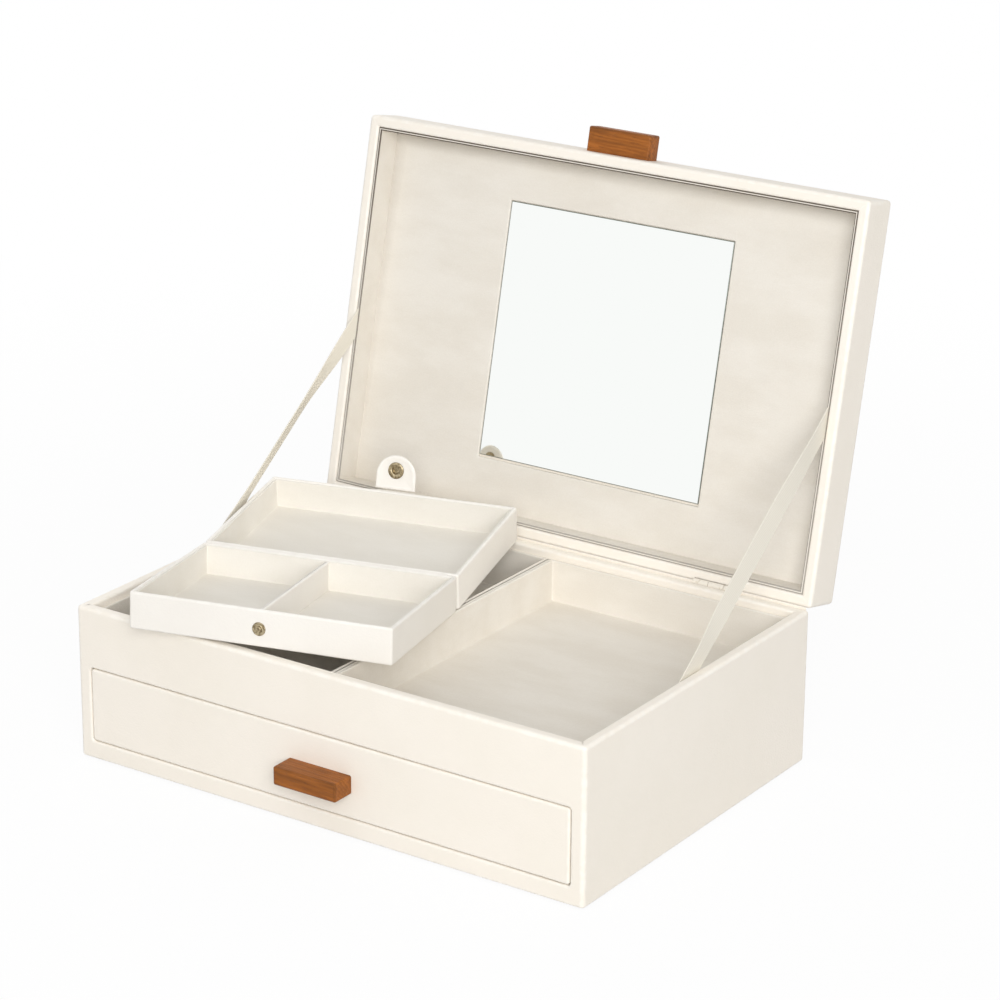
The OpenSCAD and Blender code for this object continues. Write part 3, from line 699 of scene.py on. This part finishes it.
# The mirror is a square of silvered glass with ground edges, glued to the lid board.
mirror_finish = finish_of(
    "silvered_glass",
    lambda spot: edge_of(spot).blend(shade(248, 250, 248), shade(136, 142, 134)),
    lambda spot: 0.015 + spot.noise(0.03, 2.0).between(0.5, 0.8) * 0.01 + edge_of(spot) * 0.35,
    1.0,
)
glass_face = 91.8
glass_low = [*(mirror_centre - mirror_half), glass_face]
glass_high = [*(mirror_centre + mirror_half), rim_high]
points, faces, marks = rounded_board(glass_low, glass_high, 0.3, 0.25, 0.0, lead=0.2)
piece(
    "mirror_glass_silvered", open_lid(points), faces, marks, mirror_finish, "lid", ["mirror_glass"],
    "mirror",
)


# The two handles are short bars of walnut with eased edges, oiled, and each held by two screws
# from behind.
def walnut_lines(spot):
    """Growth lines: bands bent by noise, long in the grain, which runs along the bar."""
    bent = spot + (spot.noise(0.012, 3.0, (4, 1, 1), output="Color") - 0.5) * (0.0, 0.0035, 0.0035)
    long = bent.node("Mapping", {}, {"Vector": bent, "Scale": (18.0, 330.0, 250.0)})
    return long.node(
        "TexWave", {"wave_type": "BANDS", "bands_direction": "DIAGONAL"},
        {"Vector": long, "Scale": 1.0, "Distortion": 2.5, "Detail": 3.0, "Detail Scale": 1.2},
    )


def walnut_pores(spot):
    """Pores: short dark strokes along the grain."""
    return spot.noise(0.0004, 3.0, (14, 1, 1), 0.6).between(0.56, 0.7)


def walnut_colour(spot):
    """Growth lines under warm patches, dark streaks and pores, and a little darker on the edges."""
    lines = walnut_lines(spot).between(0.1, 1.0)
    board = lines.blend(shade(160, 95, 36), shade(146, 84, 30))
    warm = spot.noise(0.005, 3.0, (3, 1, 1)).between(0.45, 0.7)
    board = (warm * 0.7).blend(board, shade(178, 106, 44))
    streaks = spot.noise(0.003, 4.0, (12, 1, 1)).between(0.4, 0.75)
    board = (streaks * 0.7).blend(board, shade(112, 65, 24))
    board = (walnut_pores(spot) * 0.45).blend(board, shade(78, 44, 18))
    return (edge_of(spot) * 0.3).blend(board, shade(82, 50, 24))


walnut = finish_of(
    "oiled_walnut", walnut_colour,
    lambda spot: 0.42 + spot.noise(0.002, 3.0, (6, 1, 1)) * 0.18 - worn(spot) * 0.08,
    heights=[(lambda spot: 1 - walnut_pores(spot), 0.00006), (walnut_lines, 0.00003)],
    Specular_IOR_Level=0.25,
)
low, high = millimetres("drawer_pull")
drawer_bar = rounded_board(low, high, 0.9, 0.9, 0.02, order=(0, 2, 1))
piece("drawer_pull_bar", *drawer_bar, walnut, "drawer", ["drawer_pull"], "walnut")
lift = np.array([0, 0, (rim_low + board_top) / 2 - (low[2] + high[2]) / 2])
piece(
    "lid_handle_bar", open_lid(drawer_bar[0] + lift), *drawer_bar[1:], walnut, "lid", ["lid_handle"],
    "walnut",
)

# The handle screws are zinc-plated steel, with their heads let into the inner faces.
zinc = finish_of(
    "zinc_steel", mottled(shade(168, 170, 172), shade(198, 198, 196), 0.0015, 4.0),
    lambda spot: 0.3 + spot.noise(0.001) * 0.2,
    1.0,
    heights=[(lambda spot: spot.noise(0.0003, 3.0, (1, 1, 8)), 0.00001)],
)
coat(zinc, "drawer_pull_screws", "lid_handle_screws")

# The two butt hinges are steel, enamelled in the ivory of the case, and screwed to the back of the
# case and of the lid. Their knuckles are let into both.
enamel = finish_of(
    "ivory_enamel", mottled(shade(240, 233, 220), shade(222, 212, 194), 0.002, 4.0, 0.55, 0.75),
    lambda spot: 0.34 + spot.noise(0.0015, 3.0) * 0.16,
    heights=[(lambda spot: spot.noise(0.0012, 3.0), 0.00002)],
    Coat_Weight=0.3,
)
coat(
    enamel, "hinge_case_leaf_left", "hinge_case_leaf_right", "hinge_lid_leaf_left",
    "hinge_lid_leaf_right", "hinge_pin_left", "hinge_pin_right", "hinge_case_screws",
    "hinge_lid_screws",
)

# A narrow lip of the leatherette stands up along the back of the case, between the knuckles, and
# closes the gap under the open lid.
left_hinge, right_hinge = millimetres("hinge_case_leaf_left"), millimetres("hinge_case_leaf_right")
lip_y, lip_z, lip_gap, lip_round = (94.85, 95.15), (73.9, 76.9), 0.4, 0.1
for name, start, end in (
    ("left", case_low[0] + upright_round, left_hinge[0][0] - lip_gap),
    ("middle", left_hinge[1][0] + lip_gap, right_hinge[0][0] - lip_gap),
    ("right", right_hinge[1][0] + lip_gap, case_high[0] - upright_round),
):
    low, high = zip((start, end), lip_y, lip_z)
    lip = rounded_board(low, high, lip_round, lip_round, lip_round, order=(0, 2, 1))
    piece("back_lip_" + name, *lip, ivory, "case", [], "white_leather")

# The travel tray has two halves of thin board, wrapped in white leatherette inside and out. It
# lies opened on the case, a little turned, with its fold on the board between the wells.
fold_joint = next(joint for joint in frame["joints"] if joint["name"] == "tray_fold")
fold_point = np.array(fold_joint["pos_m"]) / MM
tray_yaw = np.radians(14.7)
tray_sag = np.radians(3.6627)
fold_rise = 0.2


def tipped(points, angle, y0, z0):
    """Points turned about a line along X through (y0, z0), by the angle that lifts their far side."""
    y, z = points[..., 1] - y0, points[..., 2] - z0
    tipped_y = y0 + y * np.cos(angle) - z * np.sin(angle)
    tipped_z = z0 + y * np.sin(angle) + z * np.cos(angle)
    return np.stack([points[..., 0], tipped_y, tipped_z], -1)


def on_case(points):
    """Points of the front half, in its own frame, sagged and turned as it lies on the case."""
    bent = tipped(points, -tray_sag, 0, fold_rise)
    x = bent[..., 0] * np.cos(tray_yaw) - bent[..., 1] * np.sin(tray_yaw)
    y = bent[..., 0] * np.sin(tray_yaw) + bent[..., 1] * np.cos(tray_yaw)
    return np.stack([x, y, bent[..., 2] - fold_rise], -1) + fold_point


def rear_half(points):
    """Points of the rear half, tipped up against the front half at the fold."""
    return on_case(tipped(points, 2 * tray_sag, 0, fold_rise))


white = leatherette(
    "white_leatherette", shade(242, 238, 231), shade(236, 231, 223), shade(248, 245, 239)
)
white_suede = suede("white_suede", shade(238, 234, 226), shade(229, 224, 214))
half_w, far, near, tall = 63.75, 83.0, 0.5, 17.5
tray_wall, tray_card, below_rim = 2.0, 0.8, 0.5
for body, sign, put in (("tray_front", -1, on_case), ("tray_rear", 1, rear_half)):
    y0, y1 = sorted([sign * near, sign * far])
    low, high = np.array([-half_w, y0, -tall]), np.array([half_w, y1, 0])
    points, faces, marks = cup(low, high, tray_wall, 0.9, 0.8, 1.3)
    piece(
        body + "_shell_wrapped", put(points), faces, marks, white, body, [body + "_shell"],
        "tray_leather",
    )
    high = high - [tray_wall, tray_wall, below_rim]
    points, faces, marks = cup(low + tray_wall, high, tray_card, 0.38, 0.1, 0.3)
    piece(
        body + "_lining_suede", put(points), faces, marks, white_suede, body, [body + "_lining"],
        "tray_suede",
    )
lined = tray_wall + tray_card
points, faces, marks = rounded_board(
    [-1, -far + lined, -tall + lined], [1, -near - lined, -below_rim], 0.1, 0.1, 0.8
)
piece(
    "tray_partition_wrapped", on_case(points), faces, marks, white, "tray_front", ["tray_partition"],
    "tray_leather",
)


# A strip of the same leatherette joins the halves: it goes down both walls at the fold and
# bends over the gap between them.
def spine_strip(width, leg, reach, thick):
    """A U-shaped line across the fold, given its thickness, carried along the fold."""
    swing = np.linspace(np.pi, 0, 10)
    bend = np.stack([reach * np.cos(swing), reach * np.sin(swing) - reach - thick / 2], -1)
    fall = np.linspace(-leg, bend[0, 1], 7)[:-1]
    down = np.stack([np.full_like(fall, -reach), fall], -1)
    line = np.vstack([down, bend, down[::-1] * [-1, 1]])
    ahead = np.gradient(line, axis=0)
    ahead = ahead / np.linalg.norm(ahead, axis=1)[:, None]
    side = np.stack([-ahead[:, 1], ahead[:, 0]], -1) * thick / 2
    outline = np.vstack([line + side, (line - side)[::-1]])
    x = np.linspace(-width / 2, width / 2, 25)[:, None]
    return np.stack(np.broadcast_arrays(x, outline[None, :, 0], outline[None, :, 1]), -1)


points = spine_strip(117.5, 8, 0.3, 0.38)
rear_share = np.clip(points[..., 1] / 0.6 + 0.5, 0, 1)[..., None]
placed = on_case(points) * (1 - rear_share) + rear_half(points) * rear_share
spine = piece(
    "tray_spine_strip_leather", placed.reshape(-1, 3), wall_faces(points), np.zeros(points.shape[:2]),
    white, None, ["tray_spine_strip"], "tray_leather",
)
fold_line = on_case(np.array([[0, -0.5, 0], [0, 0.5, 0]])) * MM
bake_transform(spine)

# The clasp is a round-ended leatherette tab. Its root is glued to the back of the rear half, and
# it carries the socket of a snap fastener.
tab_set, tab_thick, tab_half, tab_reach, snap_drop = 1.2, 1.5, 10.25, 17.0, 9.5
tab_lean = np.radians(15)


def leaning(points):
    """Points of the tab, in its own frame, leant back about its bending line."""
    return rear_half(tipped(points, -tab_lean, 0, 0) + [0, far + tab_set + tab_thick / 2, 0])


root_foot, root_top = -6.0, -1.05
points, faces, marks = rounded_board(
    [-tab_half, far, root_foot], [tab_half, far + tab_set + tab_thick, root_top], 0.6, 0.4, 0.3
)
piece(
    "clasp_root_leather", rear_half(points), faces, marks, white, "tray_rear", ["clasp_root"],
    "tray_leather",
)


def tab_rim(angles):
    """How far the edge of the tab is from the middle of the snap: straight sides, a flat foot and a
    half round top, in the direction of each angle."""
    c, s = np.cos(angles), np.sin(angles)
    tiny, far_off = 1e-9, 1e6
    sides = tab_half / np.maximum(abs(c), tiny)
    foot = np.where(s < -tiny, snap_drop / np.maximum(-s, tiny), far_off)
    rise = snap_drop - (tab_reach - tab_half)
    arc = -rise * s + np.sqrt(np.maximum((rise * s) ** 2 + tab_half**2 - rise**2, 0))
    above = arc * s + rise > 0
    return np.where(above, arc, np.minimum(sides, foot))


def tab_shape(bore):
    """Rings from the bore out over the front to the turned edge, round it and back behind."""
    corner = np.arctan2(-snap_drop, tab_half)
    angles = np.sort(np.concatenate([
        np.linspace(-np.pi, np.pi, 96, endpoint=False), [corner, -np.pi - corner]
    ]))
    rim = tab_rim(angles)
    half, edge_reach = tab_thick / 2, 0.7
    swing = np.linspace(-np.pi / 2, np.pi / 2, 7)
    inset = np.array([2.3, 1.9, 1.5, 1.0])
    level = half - np.array([0.2, 0.12, 0, 0])
    inner = [np.full_like(rim, bore), np.full_like(rim, bore + 2.0)]
    offsets = np.concatenate([-inset, edge_reach * np.cos(swing) - edge_reach, -inset[::-1]])
    reach = [*inner, *(rim + offset for offset in offsets), *inner[::-1]]
    front = [-level[0]] * 2
    depths = [*front, *-level, *(half * np.sin(swing)), *level[::-1], *[level[0]] * 2]
    rings = [
        np.stack([r * np.cos(angles), np.full_like(r, y), snap_drop + r * np.sin(angles)], -1)
        for r, y in zip(reach, depths)
    ]
    marks = np.repeat([*[0] * 4, *[1] * 11, *[0] * 4], len(angles))
    return np.vstack(rings), grid_faces(len(rings), len(angles), rows_close=True), marks


points, faces, marks = tab_shape(2.6)
piece("clasp_tab_leather", leaning(points), faces, marks, white, "clasp", ["clasp_tab"], "tray_leather")

# The snap fastener is antique brass. The stud is riveted through the front wall of the front
# half, and the socket through the tab.
antique = finish_of(
    "antique_brass", mottled(shade(186, 172, 142), shade(128, 114, 88), 0.0012, 5.0, 0.35, 0.65),
    lambda spot: 0.32 + spot.noise(0.0008, 4.0) * 0.25,
    1.0,
    heights=[(lambda spot: spot.noise(0.0004, 4.0), 0.00002)],
)


def lathe(profile, up):
    """A profile (radius, along) turned about a line along Y at the height up."""
    profile, steps = np.asarray(profile, float), 48
    swing = np.linspace(0, 2 * np.pi, steps, endpoint=False)
    r = np.maximum(profile[:, :1], 0.0)
    along = np.broadcast_to(profile[:, 1:], (len(profile), steps))
    points = np.stack([r * np.cos(swing), along, up + r * np.sin(swing)], -1)
    return points.reshape(-1, 3), grid_faces(len(profile), steps), np.zeros(len(profile) * steps)


stud_profile = [
    (0, 0.0), (3.2, 0.0), (3.2, -0.2), (3.1, -0.36), (2.9, -0.4), (2.5, -0.3), (2.1, -0.3),
    (1.75, -0.42), (1.55, -0.7), (1.5, -1.1), (1.6, -1.35), (1.7, -1.5), (1.66, -1.7),
    (1.45, -1.84), (1.0, -1.9), (0.6, -1.86), (0, -1.85),
]
points, faces, marks = lathe([(r, -far + y) for r, y in stud_profile], 2 * fold_rise - snap_drop)
piece(
    "snap_stud_brass", on_case(points), faces, marks, antique, "tray_front", ["snap_stud"],
    "antique_brass", 50,
)
half = tab_thick / 2
socket_profile = [
    (0, half), (1.85, half), (1.85, -half - 0.1), (2.0, -half - 0.3), (2.4, -half - 0.42),
    (3.0, -half - 0.5), (3.6, -half - 0.44), (3.95, -half - 0.25), (4.1, -half), (3.9, -half + 0.02),
    (2.55, -half + 0.02), (2.55, half - 0.02), (3.9, half - 0.02), (4.1, half), (4.05, half + 0.3),
    (3.7, half + 0.52), (3.0, half + 0.6), (0, half + 0.6),
]
points, faces, marks = lathe(socket_profile, snap_drop)
piece(
    "snap_socket_brass", leaning(points), faces, marks, antique, "clasp", ["snap_socket"],
    "antique_brass", 50,
)

# Two woven ribbons hold the open lid. Each is glued behind the lining of a well and behind that
# of a lid rim, and folds down between them when the lid shuts; here each is drawn only as it stands
# with the lid open.
ribbon_half, ribbon_thick = 5.0, 0.5
lining_face, ribbon_gap = 134.5, 0.6
ribbon_x = lining_face - ribbon_gap - ribbon_thick / 2
ribbon_low = np.array([-5.0, 72.4])
lid_fixing = np.array([0.0, 2.0, rim_low + 6.5])
ribbon_top = open_lid(lid_fixing)[1:]
ribbon_run = ribbon_top - ribbon_low
ribbon_length = np.linalg.norm(ribbon_run)
ribbon_dir = ribbon_run / ribbon_length


def eased(t):
    """Rises smoothly from 0 to 1."""
    t = np.clip(t, 0, 1)
    return t * t * (3 - 2 * t)


def ribbon_strip(side, push, twist):
    """A slab with drawn-in edges along the straight run. Its lower end is level and it is soon square
    to the run. A share that rises eased from 0.09 to 0.27 of the run, and falls from 0.6 to 0.9,
    turns it by the twist about its length and pushes it sideways."""
    s = np.linspace(0, 1, 73)
    bend = np.where(s < 0.27, eased((s - 0.09) / 0.18), eased((0.9 - s) / 0.3))
    angle = twist * bend
    centre = np.stack([
        ribbon_x + push * bend, ribbon_low[0] + s * ribbon_run[0], ribbon_low[1] + s * ribbon_run[1]
    ], -1)
    edge = np.stack([np.sin(angle), ribbon_dir[1] * np.cos(angle), -ribbon_dir[0] * np.cos(angle)], -1)
    level = np.array([0, 1 / ribbon_dir[1], 0])
    square = np.clip(s * 12, 0, 1)[:, None]
    edge = (edge * square + level * (1 - square)) * ribbon_half
    depth = np.stack([np.cos(angle), -ribbon_dir[1] * np.sin(angle), ribbon_dir[0] * np.sin(angle)], -1)
    depth = depth * ribbon_thick / 2
    flat = np.linspace(-0.97, 0.97, 9)
    wide = np.concatenate([[-1], flat, [1], flat[::-1]])[None, :, None]
    deep = np.concatenate([[0], -np.ones(9), [0], np.ones(9)])[None, :, None]
    return (centre[:, None] + edge[:, None] * wide + depth[:, None] * deep) * [side, 1, 1]


def waves(value, period):
    """A sine wave along a value, with its period in metres."""
    turns = value * (2 * np.pi / period)
    return turns.node("Math", {"operation": "SINE"}, {0: turns})


ribbon_cloth = bpy.data.materials.new("woven_ribbon")
ribbon_cloth.use_nodes = True
tree = ribbon_cloth.node_tree
shader = tree.nodes["Principled BSDF"]
along = Tone(tree, None).node("UVMap", {"uv_map": "ribbon"}, {}, "UV")
crosswise = along.node("SeparateXYZ", {}, {0: along})
lengthwise = Tone(tree, crosswise.socket.node.outputs[1])
ribs = waves(lengthwise, 0.0009)
threads = waves(crosswise, 0.00045)
off_middle = crosswise.node("Math", {"operation": "ABSOLUTE"}, {0: crosswise})
selvage = off_middle.between(0.0042, 0.0046)
weave = (ribs * 0.5 + 0.5) * (1 - selvage) + selvage * (threads * 0.5 + 0.5)
wave = (threads * ribs * 0.25 + 0.5) * 0.4 + weave * 0.6
tint = wave.blend(shade(228, 222, 208), shade(236, 231, 219))
tree.links.new(tint.socket, shader.inputs["Base Color"])
tree.links.new((0.78 - weave * 0.06).socket, shader.inputs["Roughness"])
shader.inputs["Specular IOR Level"].default_value = 0.1

for name, side, push, twist in (("left", -1, 1.28, np.radians(25)), ("right", 1, -0.6, np.radians(12))):
    points = ribbon_strip(side, push, twist)
    ribbon = piece(
        "ribbon_stay_" + name + "_woven", points.reshape(-1, 3), wall_faces(points),
        np.zeros(points.shape[:2]), ribbon_cloth, None, ["ribbon_stay_" + name], "ribbon",
    )
    corner = np.empty(len(ribbon.data.loops), int)
    ribbon.data.loops.foreach_get("vertex_index", corner)
    spots = np.empty(len(ribbon.data.vertices) * 3)
    ribbon.data.vertices.foreach_get("co", spots)
    spots = spots.reshape(-1, 3)[corner, 1:] - ribbon_low * MM
    run = spots @ ribbon_dir
    over = spots @ np.array([ribbon_dir[1], -ribbon_dir[0]])
    ribbon.data.uv_layers.new(name="ribbon").data.foreach_set("uv", np.stack([over, run], -1).ravel())
    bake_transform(ribbon)
    name + "_well_lining_suede"

# The floor is a wide white sheet. It shows as plain white with only the soft shadow of the box,
# and the world behind it is white too.
floor_mesh = bpy.data.meshes.new("floor")
floor_mesh.from_pydata([(-9, -9, 0), (9, -9, 0), (9, 9, 0), (-9, 9, 0)], [], [(0, 1, 2, 3)])
floor = bpy.data.objects.new("floor", floor_mesh)
bpy.context.scene.collection.objects.link(floor)


def shown(tree):
    """1 for rays that come from the camera, also by a mirror or through glass, and 0 for all others."""
    seen = Tone(tree, None).node("LightPath", {}, {}, "Is Camera Ray")
    rays = seen.socket.node.outputs
    for ray in ("Is Glossy Ray", "Is Transmission Ray"):
        seen = seen.node("Math", {"operation": "MAXIMUM"}, {0: seen, 1: Tone(tree, rays[ray])})
    return seen


floor_white = bpy.data.materials.new("floor_white")
floor_white.use_nodes = True
tree = floor_white.node_tree
tree.nodes.remove(tree.nodes["Principled BSDF"])
seen = shown(tree)
matt_colour = seen.blend((0.6, 0.6, 0.6, 1.0), (0.95, 0.95, 0.95, 1.0))
matt = seen.node("BsdfDiffuse", {}, {"Color": matt_colour})
glow = seen.node("Emission", {}, {"Color": (1.0, 1.0, 1.0, 1.0), "Strength": 1.0})
spot = seen.node("TexCoord", {}, {}, "Object")
far_off = spot.node("VectorMath", {"operation": "LENGTH"}, {0: spot}, "Value").between(0.3, 0.9)
mixed = seen.node("MixShader", {}, {0: seen * (0.92 + far_off * 0.08), 1: matt, 2: glow})
tree.links.new(mixed.socket, tree.nodes["Material Output"].inputs["Surface"])
floor_mesh.materials.append(floor_white)

world = bpy.data.worlds.new("studio")
bpy.context.scene.world = world
world.use_nodes = True
tree = world.node_tree
tree.nodes["Background"].inputs["Color"].default_value = (1.0, 1.0, 1.0, 1.0)
strength = shown(tree) * 0.45 + 0.55
tree.links.new(strength.socket, tree.nodes["Background"].inputs["Strength"])

# Three soft lamps: a wide one from the right front, one from above and a weak one from behind on
# the left, which keeps the far sides readable.
aim = np.array([0, 0, 0.1])
for name, spot, size, power in (
    ("key_lamp", (1.4, -1.75, 1.1), 1.5, 40.0),
    ("top_lamp", (-0.1, -0.5, 2.3), 1.2, 1.5),
    ("fill_lamp", (-1.7, 1.3, 1.0), 1.4, 9.0),
):
    lamp = bpy.data.lights.new(name, "AREA")
    lamp.shape = "DISK"
    lamp.size = size
    lamp.energy = power
    stand = bpy.data.objects.new(name, lamp)
    bpy.context.scene.collection.objects.link(stand)
    stand.location = spot
    stand.rotation_euler = Vector(aim - np.array(spot)).to_track_quat("-Z", "Y").to_euler()
